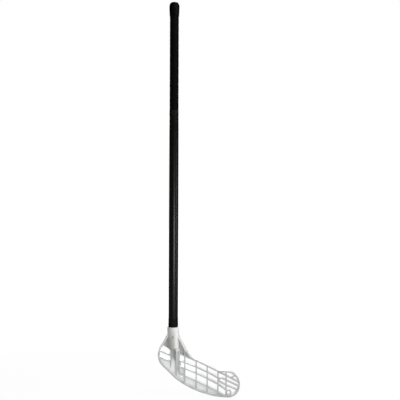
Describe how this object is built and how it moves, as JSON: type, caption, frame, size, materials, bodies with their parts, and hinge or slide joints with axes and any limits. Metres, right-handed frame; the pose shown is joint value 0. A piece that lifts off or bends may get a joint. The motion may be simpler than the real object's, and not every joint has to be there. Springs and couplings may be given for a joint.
{
  "type": "floorball stick",
  "caption": "Floorball stick: hollow composite shaft with wound grip and rubber end knob, screwed into an open-lattice hooked plastic blade.",
  "frame": {"origin": "centre of the wound grip, on the shaft's axis", "axes": "+Z along the shaft from the blade to the end knob, +X from the shaft's axis towards the blade's toe, -Y out of the hollow forehand face"},
  "size_m": [0.2272, 0.0424, 1.0945],
  "materials": {
    "shaft": "satin black composite tube",
    "grip": "matte soft perforated grip tape",
    "finishing_tape": "satin elastic tape",
    "plug": "moulded, matte",
    "knob": "matte, softly wrinkled",
    "neck_tape": "woven cloth tape",
    "blade": "translucent natural white moulding, satin",
    "screws": "plated steel"
  },
  "bodies": {
    "root": {"shaft": "shaft", "grip_tape": "grip", "grip_end_tape": "finishing_tape", "end_plug": "plug", "end_knob": "knob", "neck_tape": "neck_tape", "blade": "blade", "blade_screws": "screws"}
  },
  "joints": []
}
